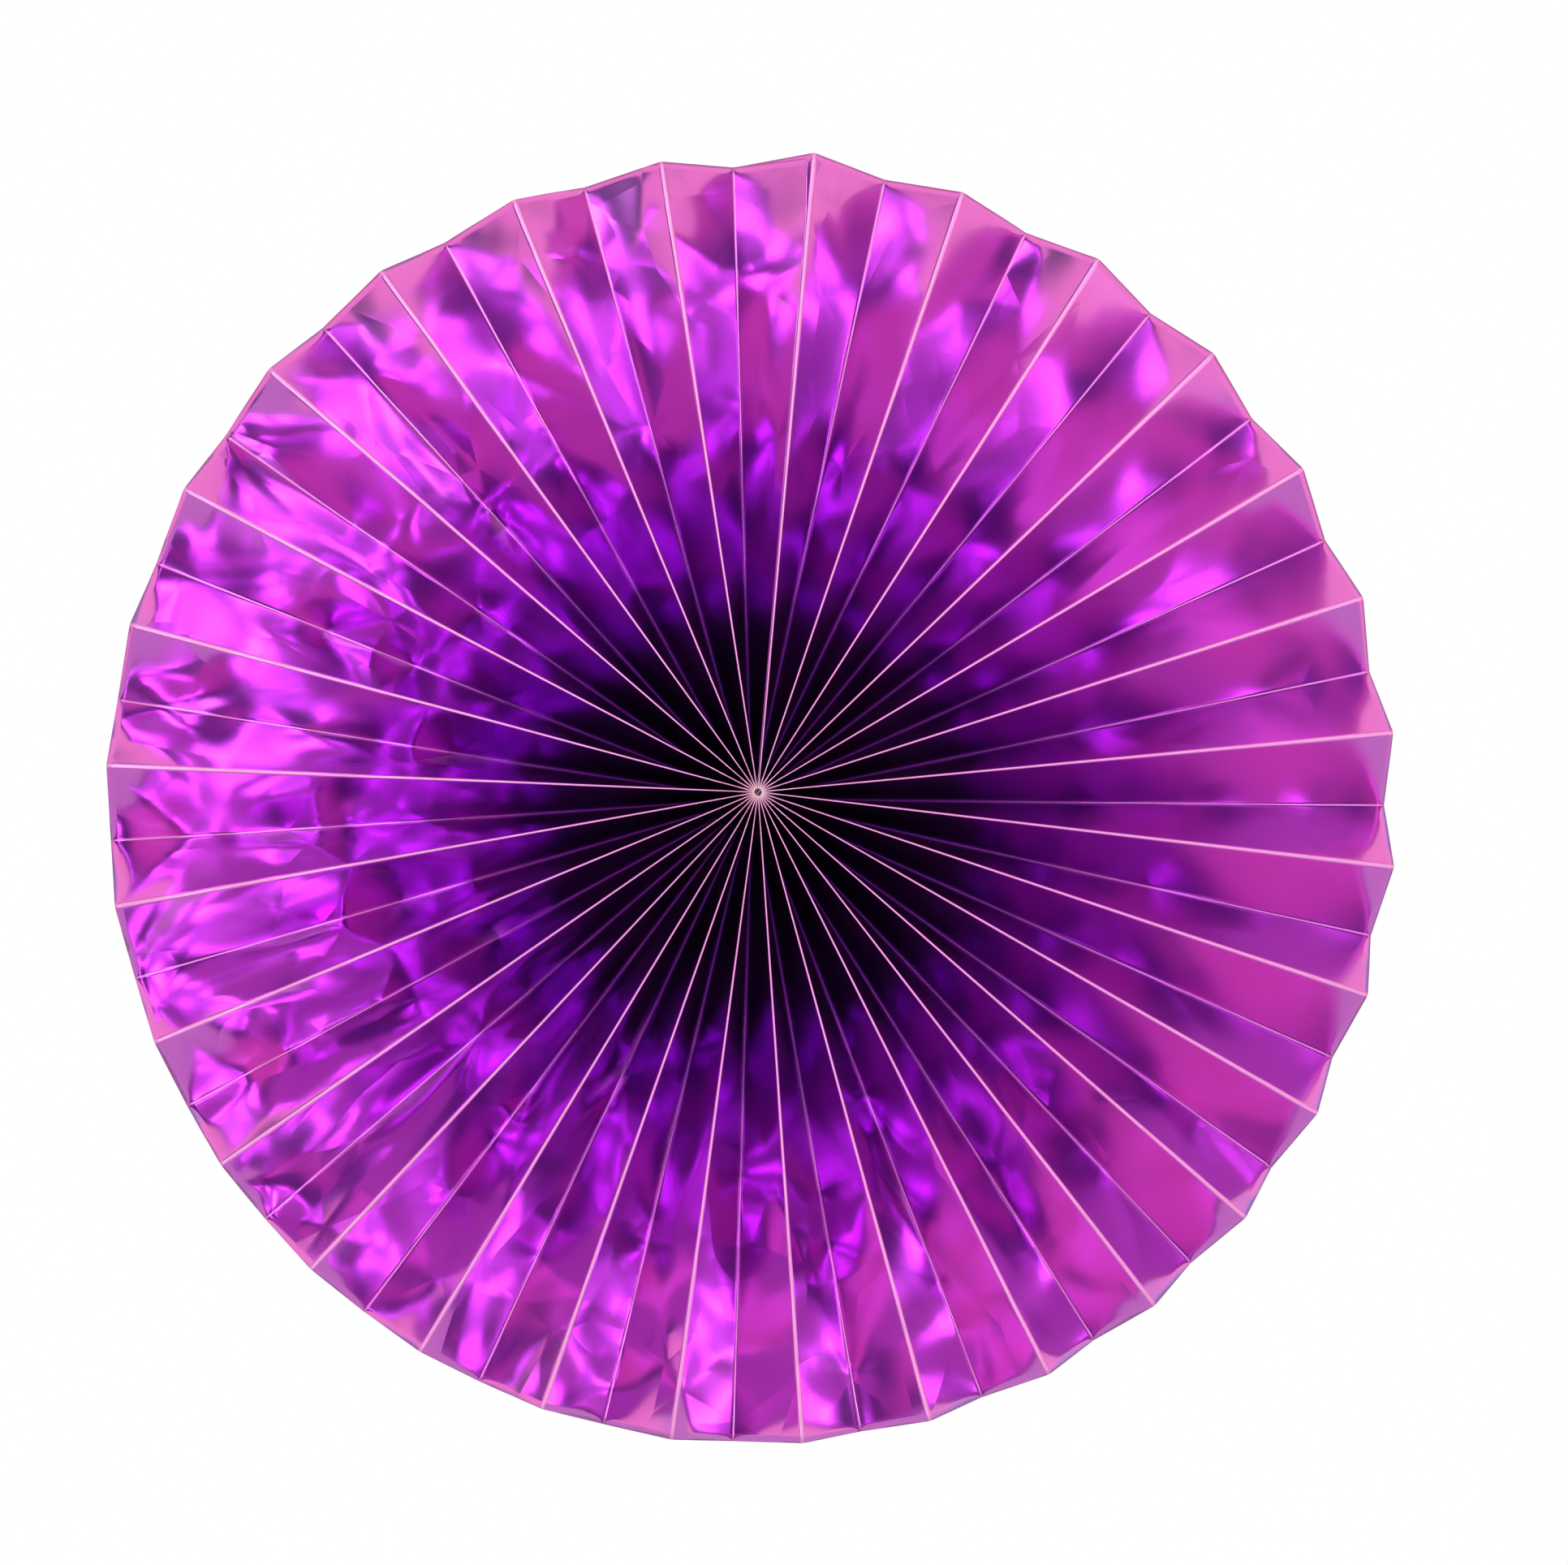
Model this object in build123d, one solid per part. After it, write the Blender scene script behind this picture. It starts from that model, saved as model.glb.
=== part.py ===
from build123d import *
import os
from math import atan2, cos, pi, radians, sin, sqrt
from random import Random

# Paper fan rosette: one strip of foil paper, pleated, opened to a full circle and closed on itself.
# It hangs upright. The front faces -Y, +Z is up, and the origin is the middle of its back.

# Driving sizes in millimetres and degrees
strip_width = 200.0         # across the folded strip, the length of every fold
leaf_width = 30.0           # from fold to fold, and so the depth at the hub
ridge_count = 29            # folds that stand forward
paper_thickness = 0.09
leaf_gap = 0.035            # air between the leaves where they pack round the hub
crest_width = 0.8           # flat of a creased fold at the rim
seam_angle = 5.1            # front fold at the seam, clockwise from the top
wide_share = 0.25           # how much of the slack in the leaves the wide side takes up
wide_angle = 18.2           # lead of the wide side, round the strip from the seam
ripple_share = 0.06         # the same for the smaller unevenness, twice round
ripple_angle = -34.0
seam_overhang = 3.0         # the strip starts this much further out than it ends
overhang_leaves = 3         # leaves over which that difference is lost
seam_lift = 2.0             # the loose corner of the last leaf stands off at the rim

# Creases that the twist of each leaf presses into the foil
station_count = 7           # steps along the leaf that carry creases
crease_start = 78.0         # distance from the hub edge
crease_depth = 1.1
crease_seed = 6

# Tape between the two end leaves
tape_start = 60.0           # distances from the hub edge
tape_end = 188.0
tape_width = 15.0
tape_margin = 3.0           # from the loose edge of the last leaf
tape_thickness = 0.1
tape_clearance = 0.02

# Thread that gathers the leaves at the hub, and the needle's holes for it
tie_radius = 12.0
thread_radius = 0.2
thread_sides = 8
hole_clearance = 0.25
hole_sides = 8
punch_length = 0.7
knot_radius = 0.48
knot_length = 1.0
knot_steps = 6

# Sizes that follow
leaf_count = 2 * ridge_count + 1
place_count = 2 * ridge_count
half_thickness = paper_thickness / 2
seam_step = paper_thickness + tape_thickness + 2 * tape_clearance
hub_pitch = paper_thickness + leaf_gap
hub_radius = (place_count * hub_pitch + seam_step) / (2 * pi)
middle_y = -(leaf_width + paper_thickness) / 2
mean_angle = 360 / place_count
flat_radius = hub_radius + strip_width
mean_chord = 2 * flat_radius * sin(radians(mean_angle / 2))
slack = (leaf_width - mean_chord) / mean_chord
stations = [0.0, tape_start]
stations += [tape_start + (tape_end - tape_start) * i / station_count for i in range(1, station_count + 1)]
stations += [strip_width]


def spoke(angle):
    """Unit vector outwards from the hub, at an angle clockwise from the top as seen from the front."""
    return Vector(sin(radians(angle)), 0, cos(radians(angle)))


def clockwise(angle):
    return Vector(cos(radians(angle)), 0, -sin(radians(angle)))


def drift(place):
    """Angle by which a fold has left its even place, from uneven spreading of the pleats."""
    turn = 360 * place / place_count
    wide = wide_share * sin(radians(turn + wide_angle))
    ripple = ripple_share / 2 * sin(radians(2 * turn + ripple_angle))
    return slack * (wide + ripple) * 180 / pi


def fold_angle(place):
    return seam_angle + mean_angle * (place - 1) + drift(place - 1) - drift(0)


def rim_depth(place):
    """Front to back at the rim for the leaf before a fold: what the leaf's width leaves over."""
    spread = radians(fold_angle(place) - fold_angle(place - 1))
    chord = 2 * flat_radius * sin(spread / 2) - crest_width
    return sqrt(leaf_width**2 - chord**2)


def rim_point(place, side):
    """Corner beside a fold at the rim. Odd folds stand forward, and side is -1 before the crest."""
    depth = (rim_depth(place) + rim_depth(place + 1)) / 2
    towards_back = 1 if place % 2 == 0 else -1
    run = sqrt(strip_width**2 - ((leaf_width - depth) / 2) ** 2)
    overhang = seam_overhang * max(0, 1 - place / overhang_leaves)
    angle = fold_angle(place)
    across = clockwise(angle) * (side * crest_width / 2)
    out = spoke(angle) * (hub_radius + run + overhang)
    return out + across + Vector(0, middle_y + towards_back * depth / 2, 0)


def hub_point(leaf, place):
    """Corner at the hub, where the leaves stand side by side."""
    turn = (leaf - 1 - place_count / 2) * hub_pitch / hub_radius * 180 / pi
    halfway = (fold_angle(0) + fold_angle(place_count)) / 2
    towards_back = 1 if place % 2 == 0 else -1
    return spoke(halfway + turn) * hub_radius + Vector(0, middle_y + towards_back * leaf_width / 2, 0)


def leaf_edges(leaf, share):
    """Both long edges of a leaf at a share of the way from hub to rim."""
    first = hub_point(leaf, leaf - 1) * (1 - share) + rim_point(leaf - 1, 1) * share
    last = hub_point(leaf, leaf) * (1 - share) + rim_point(leaf, -1) * share
    return first, last


def front_normal(first, last, outward):
    return (last - first).cross(outward).normalized()


class Leaf:
    """One leaf of the strip: middle-surface points by station and column, with the front normal."""

    def __init__(self, number, columns, random):
        self.columns = columns
        self.rows = []
        self.normals = []
        for index, distance in enumerate(stations):
            first, last = leaf_edges(number, distance / strip_width)
            normal = front_normal(first, last, spoke(fold_angle(number - 0.5)))
            row = [first * (1 - column) + last * column for column in columns]
            creased = crease_start <= distance <= tape_end and len(columns) == 3
            if creased:
                row[1] += normal * crease_depth * (-1) ** index * random.uniform(0.2, 1)
            self.rows.append(row)
            self.normals.append(normal)

    def shifted(self, distance, lift):
        """The leaf that lies on this one, with its loose corner lifted at the rim."""
        copy = Leaf.__new__(Leaf)
        copy.columns = self.columns
        copy.normals = self.normals
        copy.rows = [[point + normal * distance for point in row]
                     for row, normal in zip(self.rows, self.normals)]
        copy.rows[-1] = [point + self.normals[-1] * lift * column
                         for point, column in zip(copy.rows[-1], self.columns)]
        return copy


def triangle(a, b, c):
    return Face(Wire.make_polygon([a, b, c], close=True))


def patch(a, b, c, d, crossed=False):
    """Two triangles for a cell of four corners in turn, split from a to c or from b to d."""
    if crossed:
        return [triangle(a, b, d), triangle(b, c, d)]
    return [triangle(a, b, c), triangle(a, c, d)]


def middle_column(row):
    return min(range(len(row)), key=lambda c: abs((row[c] - row[0]).length - (row[c] - row[-1]).length))


def skin(rows, fan=True):
    """Front skin of a grid of points. The band at the hub is a fan, plain where the thread passes."""
    faces = []
    start = 0
    if fan:
        hub_first, hub_last = rows[0][0], rows[0][-1]
        row = rows[1]
        middle = middle_column(row)
        for column in range(len(row) - 1):
            corner = hub_first if column < middle else hub_last
            faces.append(triangle(corner, row[column], row[column + 1]))
        faces.append(triangle(hub_first, row[middle], hub_last))
        start = 1
    for index in range(start, len(rows) - 1):
        near, far = rows[index], rows[index + 1]
        for column in range(len(near) - 1):
            crossed = (index + column) % 2 == 0
            faces += patch(near[column], far[column], far[column + 1], near[column + 1], crossed)
    return faces


def wall(front, back):
    """Closes a free edge between the front and back skins."""
    faces = []
    for (a, b), (c, d) in zip(zip(front, front[1:]), zip(back, back[1:])):
        faces += patch(a, b, d, c)
    return faces


def pleated_strip_leaves():
    random = Random(crease_seed)
    seam_columns = [0, 1 - (tape_margin + tape_width) / leaf_width, 1 - tape_margin / leaf_width, 1]
    first = Leaf(1, seam_columns, random)
    middle = [Leaf(number, [0, 0.5, 1], random) for number in range(2, leaf_count)]
    return [first] + middle + [first.shifted(seam_step, seam_lift)]


def crest_normals(leaf, following, number):
    outward = spoke(fold_angle(number))
    return [front_normal(row[-1], later[0], outward) for row, later in zip(leaf.rows, following.rows)]


def mitre(first, second):
    """Offset at a corner that keeps the paper's thickness on both sides of it."""
    return (first + second) * (half_thickness / (1 + first.dot(second)))


def make_pleated_strip(leaves):
    faces = []
    crests = [crest_normals(leaf, leaves[index + 1], index + 1) for index, leaf in enumerate(leaves[:-1])]
    skins = []
    for index, leaf in enumerate(leaves):
        front, back = [], []
        for station, row in enumerate(leaf.rows):
            normal = leaf.normals[station]
            offsets = [normal * half_thickness for point in row]
            if index > 0:
                offsets[0] = mitre(normal, crests[index - 1][station])
            if index < len(leaves) - 1:
                offsets[-1] = mitre(normal, crests[index][station])
            front.append([point + offset for point, offset in zip(row, offsets)])
            back.append([point - offset for point, offset in zip(row, offsets)])
        faces += skin(front) + skin(back)
        faces += wall(front[0][::len(leaf.columns) - 1], back[0][::len(leaf.columns) - 1])
        faces += wall(front[-1], back[-1])
        skins.append((front, back))
    for (front, back), (next_front, next_back) in zip(skins, skins[1:]):
        crest_front = [[row[-1], later[0]] for row, later in zip(front, next_front)]
        crest_back = [[row[-1], later[0]] for row, later in zip(back, next_back)]
        faces += skin(crest_front, fan=False) + skin(crest_back, fan=False)
        faces += wall(crest_front[0], crest_back[0]) + wall(crest_front[-1], crest_back[-1])
    for (front, back), edge in ((skins[0], 0), (skins[-1], -1)):
        faces += wall([row[edge] for row in front], [row[edge] for row in back])
    return Solid(Shell(faces))


def make_seam_tape(leaf):
    """Double-sided tape, face to face with both end leaves and creased as they are."""
    low = half_thickness + tape_clearance
    grids = []
    for level in (low + tape_thickness, low):
        grids.append([[point + leaf.normals[index] * level for point in leaf.rows[index][1:3]]
                      for index in range(1, station_count + 2)])
    front, back = grids
    faces = skin(front, fan=False) + skin(back, fan=False)
    faces += wall(front[0], back[0]) + wall(front[-1], back[-1])
    for edge in (0, -1):
        faces += wall([row[edge] for row in front], [row[edge] for row in back])
    return Solid(Shell(faces))


def tie_angle(leaf):
    """Where a leaf crosses the thread, on the plain facet of its hub band."""
    edge_middle = (leaf.rows[0][0] + leaf.rows[0][-1]) / 2
    row = leaf.rows[1]
    share = (tie_radius - hub_radius) / (stations[1] - stations[0])
    crossing = edge_middle + (row[middle_column(row)] - edge_middle) * share
    return atan2(crossing.X, crossing.Z) * 180 / pi


def tie_frame(angle):
    """Plane across the thread: x outwards from the hub, z along the thread."""
    centre = spoke(angle) * tie_radius + Vector(0, middle_y, 0)
    return Plane(origin=centre, x_dir=spoke(angle), z_dir=clockwise(angle))


def punches(leaves):
    """Short prisms that cut the needle's hole in each leaf."""
    hole = RegularPolygon(thread_radius + hole_clearance, hole_sides)
    return [tie_frame(tie_angle(leaf)) * extrude(hole, punch_length / 2, both=True) for leaf in leaves]


def make_tie_thread(leaves):
    """Taut loop of thread in straight runs through every leaf, with a knot in the first pleat."""
    knot_angle = (tie_angle(leaves[0]) + tie_angle(leaves[1])) / 2
    knot_half = knot_length / 2 / tie_radius * 180 / pi
    turns = []
    for step in range(2 * knot_steps + 1):
        swing = step / knot_steps - 1
        bulge = (knot_radius - thread_radius) * sqrt(1 - swing**2)
        turns.append((knot_angle + knot_half * swing, thread_radius + bulge))
    run = (360 - 2 * knot_half) / leaf_count
    turns += [(knot_angle + knot_half + run * step, thread_radius) for step in range(1, leaf_count)]
    rings = []
    for angle, radius in turns:
        frame = tie_frame(angle)
        corners = [2 * pi * side / thread_sides for side in range(thread_sides + 1)]
        rings.append([frame.from_local_coords(Vector(radius * cos(a), radius * sin(a), 0)) for a in corners])
    return Solid(Shell(skin(rings + rings[:1], fan=False)))


os.makedirs("parts", exist_ok=True)

strip_leaves = pleated_strip_leaves()
pleated_strip = make_pleated_strip(strip_leaves) - punches(strip_leaves)
seam_tape = make_seam_tape(strip_leaves[0])
tie_thread = make_tie_thread(strip_leaves)

export_step(pleated_strip, "parts/pleated_strip.step")
export_step(seam_tape, "parts/seam_tape.step")
export_step(tie_thread, "parts/tie_thread.step")
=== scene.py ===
from math import pi, radians, sin, cos, sqrt

import bpy
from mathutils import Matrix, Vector


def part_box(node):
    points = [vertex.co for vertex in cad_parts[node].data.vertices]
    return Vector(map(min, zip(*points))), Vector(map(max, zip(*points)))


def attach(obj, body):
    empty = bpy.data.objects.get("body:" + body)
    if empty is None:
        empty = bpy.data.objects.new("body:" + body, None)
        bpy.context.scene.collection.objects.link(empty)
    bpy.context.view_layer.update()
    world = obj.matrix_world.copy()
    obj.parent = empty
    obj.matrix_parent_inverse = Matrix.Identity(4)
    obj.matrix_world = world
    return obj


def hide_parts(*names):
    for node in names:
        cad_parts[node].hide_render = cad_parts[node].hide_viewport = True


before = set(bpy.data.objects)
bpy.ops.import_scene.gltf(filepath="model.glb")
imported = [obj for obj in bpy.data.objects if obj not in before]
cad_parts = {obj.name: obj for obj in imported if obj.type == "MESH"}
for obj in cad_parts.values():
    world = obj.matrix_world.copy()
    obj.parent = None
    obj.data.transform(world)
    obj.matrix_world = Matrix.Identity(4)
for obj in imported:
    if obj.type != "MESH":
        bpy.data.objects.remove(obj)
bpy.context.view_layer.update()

# Paper fan rosette in purple foil, hung upright with its front to -Y.
# Sizes in the dictionaries are millimetres and degrees; meshes are made in metres.

mm = 0.001


def linear(hexColour):
    # The sRGB curve, with full alpha
    parts = [int(hexColour[i:i + 2], 16) / 255 for i in (1, 3, 5)]
    return [p / 12.92 if p <= 0.04045 else ((p + 0.055) / 1.055) ** 2.4 for p in parts] + [1.0]


def add(tree, kind, sockets=(), out=0, **settings):
    node = tree.nodes.new(kind)
    for name, value in settings.items():
        setattr(node, name, value)
    pairs = sockets.items() if isinstance(sockets, dict) else enumerate(sockets)
    for key, value in pairs:
        if isinstance(value, bpy.types.NodeSocket):
            tree.links.new(value, node.inputs[key])
        else:
            node.inputs[key].default_value = value
    return node.outputs[out] if node.outputs else None


# The kinds of node that come up most, and the settings of a blend of vectors or colours
mathNode = "ShaderNodeMath"
vectorNode = "ShaderNodeVectorMath"
joinNode = "ShaderNodeCombineXYZ"
mixNode = "ShaderNodeMix"
rangeNode = "ShaderNodeMapRange"
noiseNode = "ShaderNodeTexNoise"
vectorMix = dict(out=1, data_type="VECTOR", clamp_factor=False)
colourMix = dict(out=2, data_type="RGBA")
usualNoise = (0.35, 0.65)    # most of a noise texture lies between these levels
widestNoise = (0.3, 0.7)     # and nearly all of it between these

# The fold lines

strip = dict(
    stripWidth=200.0,      # the length of every fold
    ridgeCount=29,         # folds that stand forward
    paperThickness=0.09,
    leafGap=0.035,         # air between the leaves packed at the hub
    tapeThickness=0.1,
    tapeClearance=0.02,    # on each side of the tape
    seamAngle=5.1,         # clockwise from the top
    wideShare=0.25,        # uneven spreading of the pleats, once round
    wideAngle=18.2,
    rippleShare=0.06,      # and twice round
    rippleAngle=-34.0,
    seamOverhang=3.0,      # the strip starts further out than it ends
    overhangLeaves=3,      # and is level from here on
)

low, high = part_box("pleated_strip")
leafWidth = (high[1] - low[1]) / mm - strip["paperThickness"]
placeCount = 2 * strip["ridgeCount"]
leafCount = placeCount + 1
seamStep = strip["paperThickness"] + strip["tapeThickness"] + 2 * strip["tapeClearance"]
hubPitch = strip["paperThickness"] + strip["leafGap"]
hubRadius = (placeCount * hubPitch + seamStep) / (2 * pi)
middleY = (low[1] + high[1]) / 2 / mm
meanAngle = 360 / placeCount
flatRadius = hubRadius + strip["stripWidth"]
meanChord = 2 * flatRadius * sin(radians(meanAngle / 2))
slack = (leafWidth - meanChord) / meanChord


def spoke(angle):
    return Vector((sin(radians(angle)), 0, cos(radians(angle))))


def foldAngle(place):
    def drift(count):
        turn = radians(360 * count / placeCount)
        wide = strip["wideShare"] * sin(turn + radians(strip["wideAngle"]))
        ripple = strip["rippleShare"] / 2 * sin(2 * turn + radians(strip["rippleAngle"]))
        return slack * (wide + ripple) * 180 / pi
    return strip["seamAngle"] + meanAngle * (place - 1) + drift(place - 1) - drift(0)


def rimDepth(place):
    chord = 2 * flatRadius * sin(radians(foldAngle(place) - foldAngle(place - 1)) / 2)
    return sqrt(leafWidth**2 - chord**2)


def rimPoint(place, standsOut=True):
    depth = (rimDepth(place) + rimDepth(place + 1)) / 2
    towardsBack = 1 if place % 2 == 0 else -1
    run = sqrt(strip["stripWidth"] ** 2 - ((leafWidth - depth) / 2) ** 2)
    overhang = strip["seamOverhang"] * max(0, 1 - place / strip["overhangLeaves"])
    if place == 0 or not standsOut:
        overhang = 0
    reach = hubRadius + run + overhang
    return spoke(foldAngle(place)) * reach + Vector((0, middleY + towardsBack * depth / 2, 0))


def hubPoint(leaf, place):
    turn = (leaf - 1 - placeCount / 2) * hubPitch / hubRadius * 180 / pi
    halfway = (foldAngle(0) + foldAngle(placeCount)) / 2
    towardsBack = 1 if place % 2 == 0 else -1
    return spoke(halfway + turn) * hubRadius + Vector((0, middleY + towardsBack * leafWidth / 2, 0))


def leafCorners(leaf, standsOut=True):
    rims = [rimPoint(place, standsOut) for place in (leaf - 1, leaf)]
    return [hubPoint(leaf, leaf - 1), rims[0], hubPoint(leaf, leaf), rims[1]]


def seamNormal(share):
    hubFirst, rimFirst, hubLast, rimLast = leafCorners(1)
    across = hubLast.lerp(rimLast, share) - hubFirst.lerp(rimFirst, share)
    return across.cross(spoke(foldAngle(0.5))).normalized()


def allCorners():
    points = []
    for leaf in range(1, leafCount):
        points += leafCorners(leaf)
    for index, corner in enumerate(leafCorners(1, False)):
        points.append(corner + seamNormal(index % 2) * seamStep)
    return [point * mm for point in points]


print("fold lines:", leafCount, "leaves, hub radius", round(hubRadius, 2), "mm")

# The pleated foil

foil = dict(
    cellsAcross=12,
    crestCells=2,
    cellsAlong=58,
    outerCells=0.7,         # below 1 the cells are shorter near the rim
    crestWidth=0.8,         # at the rim
    crestShare=0.4,         # of that width at the hub
    ridgeRoom=1.2,          # most width of a crest near the hub, in steps from fold to fold
    valleyShare=0.4,        # width of a fold that points inwards, against one that stands forward
    foldRounding=0.3,
    flatEdge=0.9,           # the first column of cells beside a fold
    buckleDepth=5.0,        # how far the fold lines zigzag front to back
    buckleLength=32.0,      # along a fold, from one bend to the next
    buckleFull=0.85,        # share of the way from hub to rim
    dentDepth=0.6,          # between the folds, from the lowest to the highest facet
    dentLength=48.0,
    dentWeakest=0.3,        # of that depth, in the calmest patch and in the strongest
    dentStrongest=1.2,
    dentMargin=0.4,         # a dent is full this share of the leaf away from its folds
    wander=0.35,            # how far bends and dents stray, in their own lengths
    dentStart=0.27,         # shares of the way from hub to rim
    dentFull=0.5,
    calmSide=75.0,          # the side with the fewest buckles, clockwise from the top
    calmShare=0.2,          # of the full strength is left there
    seamLift=2.0,           # the loose corner of the last leaf at the rim
    liftStart=0.91,         # share of the way from hub to rim
    seed=3.0,
)


def pleatTree():
    tree = bpy.data.node_groups.new("pleatedFoil", "GeometryNodeTree")
    face = tree.interface
    wanted = (
        ("Fold Corners", "Geometry"), ("Leaf Count", "Int"), ("Cells Across", "Int"),
        ("Crest Cells", "Int"), ("Cells Along", "Int"), ("Strip Width", "Float"),
        ("Leaf Width", "Float"), ("Hub Radius", "Float"), ("Outer Cells", "Float"),
        ("Crest Width", "Float"), ("Crest Share", "Float"), ("Ridge Room", "Float"),
        ("Valley Share", "Float"), ("Fold Rounding", "Float"), ("Flat Edge", "Float"),
        ("Buckle Depth", "Float"), ("Buckle Length", "Float"), ("Buckle Full", "Float"),
        ("Dent Depth", "Float"), ("Dent Length", "Float"), ("Dent Weakest", "Float"),
        ("Dent Strongest", "Float"), ("Dent Margin", "Float"), ("Wander", "Float"),
        ("Dent Start", "Float"), ("Dent Full", "Float"), ("Calm Side", "Float"),
        ("Calm Share", "Float"), ("Seam Lift", "Float"), ("Lift Start", "Float"),
        ("Seed", "Float"), ("Foil", "Material"),
    )
    for name, kind in wanted:
        face.new_socket(name, in_out="INPUT", socket_type="NodeSocket" + kind)
    face.new_socket("Paper", in_out="OUTPUT", socket_type="NodeSocketGeometry")
    given = add(tree, "NodeGroupInput").node.outputs

    # Grid of columns round the strip and stations from hub to rim
    period = add(tree, mathNode, (given["Cells Across"], given["Crest Cells"]), operation="ADD")
    columnCount = add(tree, mathNode, (given["Leaf Count"], period, 1), operation="MULTIPLY_ADD")
    columnCount = add(tree, mathNode, (columnCount, given["Crest Cells"]), operation="SUBTRACT")
    stationCount = add(tree, mathNode, (given["Cells Along"], 1), operation="ADD")
    grid = add(tree, "GeometryNodeMeshGrid", (1.0, 1.0, columnCount, stationCount))
    index = add(tree, "GeometryNodeInputIndex")
    column = add(tree, mathNode, (index, 0.5), operation="ADD")
    column = add(tree, mathNode, (column, stationCount), operation="DIVIDE")
    column = add(tree, mathNode, (column,), operation="FLOOR")
    station = add(tree, mathNode, (column, stationCount), operation="MULTIPLY")
    station = add(tree, mathNode, (index, station), operation="SUBTRACT")
    leaf = add(tree, mathNode, (column, 0.5), operation="ADD")
    leaf = add(tree, mathNode, (leaf, period), operation="DIVIDE")
    leaf = add(tree, mathNode, (leaf,), operation="FLOOR")
    local = add(tree, mathNode, (leaf, period), operation="MULTIPLY")
    local = add(tree, mathNode, (column, local), operation="SUBTRACT")
    along = add(tree, mathNode, (station, given["Cells Along"]), operation="DIVIDE")
    along = add(tree, mathNode, (along, given["Outer Cells"]), operation="POWER")

    # Place across the leaf, with extra columns beside each fold
    rounding = add(tree, mathNode, (given["Fold Rounding"], given["Leaf Width"]), operation="DIVIDE")
    flat = add(tree, mathNode, (given["Flat Edge"], given["Leaf Width"]), operation="DIVIDE")
    flatEnd = add(tree, mathNode, (1, flat), operation="SUBTRACT")
    lastInner = add(tree, mathNode, (given["Cells Across"], 1), operation="SUBTRACT")
    inner = add(tree, rangeNode, (local, 1.0, lastInner, flat, flatEnd))
    step = add(tree, mathNode, (flat, rounding), operation="SUBTRACT")
    atFirst = add(tree, mathNode, (local, 0.5), operation="LESS_THAN")
    atLast = add(tree, mathNode, (given["Cells Across"], 0.5), operation="SUBTRACT")
    atLast = add(tree, mathNode, (local, atLast), operation="GREATER_THAN")
    across = add(tree, mathNode, (atLast, atFirst), operation="SUBTRACT")
    across = add(tree, mathNode, (across, step, inner), operation="MULTIPLY_ADD")
    overCrest = add(tree, mathNode, (local, given["Cells Across"]), operation="SUBTRACT")
    overCrest = add(tree, mathNode, (overCrest, given["Crest Cells"]), operation="DIVIDE")

    # The crest is narrower near the hub, where the folds crowd together
    radius = add(tree, mathNode, (along, given["Strip Width"], given["Hub Radius"]),
                 operation="MULTIPLY_ADD")
    foldCount = add(tree, mathNode, (given["Leaf Count"], 1), operation="SUBTRACT")
    pitch = add(tree, mathNode, (2 * pi, foldCount), operation="DIVIDE")
    pitch = add(tree, mathNode, (radius, pitch), operation="MULTIPLY")
    share = add(tree, rangeNode, (along, 0.0, 1.0, given["Crest Share"], 1.0))
    widest = add(tree, mathNode, (given["Crest Width"], share), operation="MULTIPLY")
    room = add(tree, mathNode, (pitch, given["Ridge Room"]), operation="MULTIPLY")
    halfCrest = add(tree, mathNode, (widest, room), operation="MINIMUM")
    halfCrest = add(tree, mathNode, (halfCrest, 0.5), operation="MULTIPLY")

    # Both long edges of a leaf at this station, and the way outwards along it
    def leafEdges(which):
        corners = []
        for corner in range(4):
            at = add(tree, mathNode, (which, 4, corner), operation="MULTIPLY_ADD")
            place = add(tree, "GeometryNodeInputPosition")
            sockets = {"Geometry": given["Fold Corners"], "Value": place, "Index": at}
            corners.append(add(tree, "GeometryNodeSampleIndex", sockets,
                               data_type="FLOAT_VECTOR", clamp=True))
        hubFirst, rimFirst, hubLast, rimLast = corners
        endsInwards = add(tree, mathNode, (which, 2), operation="FLOORED_MODULO")
        startsInwards = add(tree, mathNode, (1, endsInwards), operation="SUBTRACT")
        narrower = add(tree, mathNode, (given["Valley Share"], 1), operation="SUBTRACT")
        edges = []
        for hub, rim, side, inwards in ((hubFirst, rimFirst, 1, startsInwards),
                                        (hubLast, rimLast, -1, endsInwards)):
            share = add(tree, mathNode, (inwards, narrower, 1), operation="MULTIPLY_ADD")
            width = add(tree, mathNode, (halfCrest, share), operation="MULTIPLY")
            width = add(tree, mathNode, (width, side), operation="MULTIPLY")
            point = add(tree, mixNode, {0: along, 4: hub, 5: rim}, **vectorMix)
            clockwise = add(tree, vectorNode, (point, (0, -1, 0)), operation="CROSS_PRODUCT")
            clockwise = add(tree, vectorNode, (clockwise,), operation="NORMALIZE")
            shift = add(tree, vectorNode, {0: clockwise, 3: width}, operation="SCALE")
            edges.append(add(tree, vectorNode, (point, shift), operation="ADD"))
        rims = add(tree, vectorNode, (rimFirst, rimLast), operation="ADD")
        hubs = add(tree, vectorNode, (hubFirst, hubLast), operation="ADD")
        outward = add(tree, vectorNode, (rims, hubs), operation="SUBTRACT")
        return edges[0], edges[1], outward

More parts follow.
